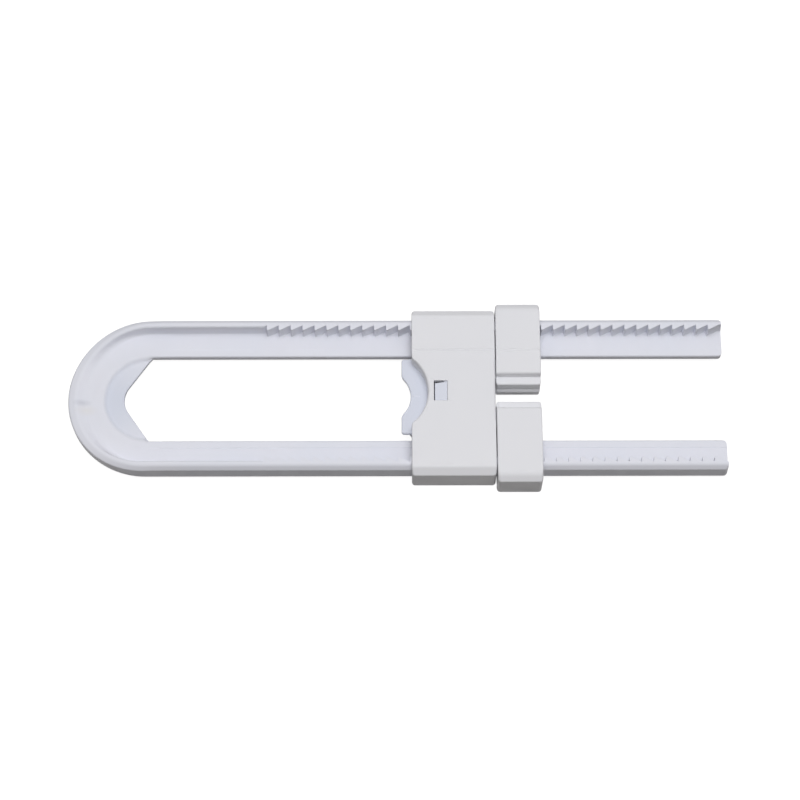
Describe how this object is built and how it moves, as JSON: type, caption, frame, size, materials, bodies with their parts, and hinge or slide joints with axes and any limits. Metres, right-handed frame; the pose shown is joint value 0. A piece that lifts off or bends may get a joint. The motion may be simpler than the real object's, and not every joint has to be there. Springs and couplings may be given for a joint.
{
  "type": "cabinet safety lock",
  "caption": "U-shaped sliding cabinet lock: a toothed bow goes round two knobs, and a slider with squeeze buttons and sprung pawls closes it.",
  "frame": {"origin": "centre of the bounding box on the back plane, on which the slider and the buttons lie", "axes": "+X along the legs, from the bend to the leg ends; +Y across, towards the upper leg of the picture; +Z out of the front"},
  "size_m": [0.2, 0.0576, 0.0112],
  "materials": {
    "bow_plastic": "satin, slightly cool white",
    "shell_plastic": "satin, neutral white",
    "spring_steel": "drawn wire"
  },
  "bodies": {
    "bow": {"u_bow": "bow_plastic"},
    "slider": {"slider_front_shell": "shell_plastic", "slider_back_shell": "bow_plastic", "upper_spring": "spring_steel", "lower_spring": "spring_steel"},
    "upper_button": {"upper_button_cap": "shell_plastic", "upper_pawl_carrier": "shell_plastic", "upper_button_back": "shell_plastic"},
    "lower_button": {"lower_button_cap": "shell_plastic", "lower_pawl_carrier": "shell_plastic", "lower_button_back": "shell_plastic"}
  },
  "joints": [
    {"name": "slider_slide", "type": "slide", "parent": "bow", "child": "slider", "axis": [1, 0, 0], "range_m": [-0.073, 0.0584]},
    {"name": "upper_button_press", "type": "slide", "parent": "slider", "child": "upper_button", "axis": [0, -1, 0], "range_m": [0, 0.002], "stiffness_N_per_m": 500, "springref_m": -0.002, "deforming": ["upper_spring"]},
    {"name": "lower_button_press", "type": "slide", "parent": "slider", "child": "lower_button", "axis": [0, 1, 0], "range_m": [0, 0.002], "stiffness_N_per_m": 500, "springref_m": -0.002, "deforming": ["lower_spring"]}
  ]
}
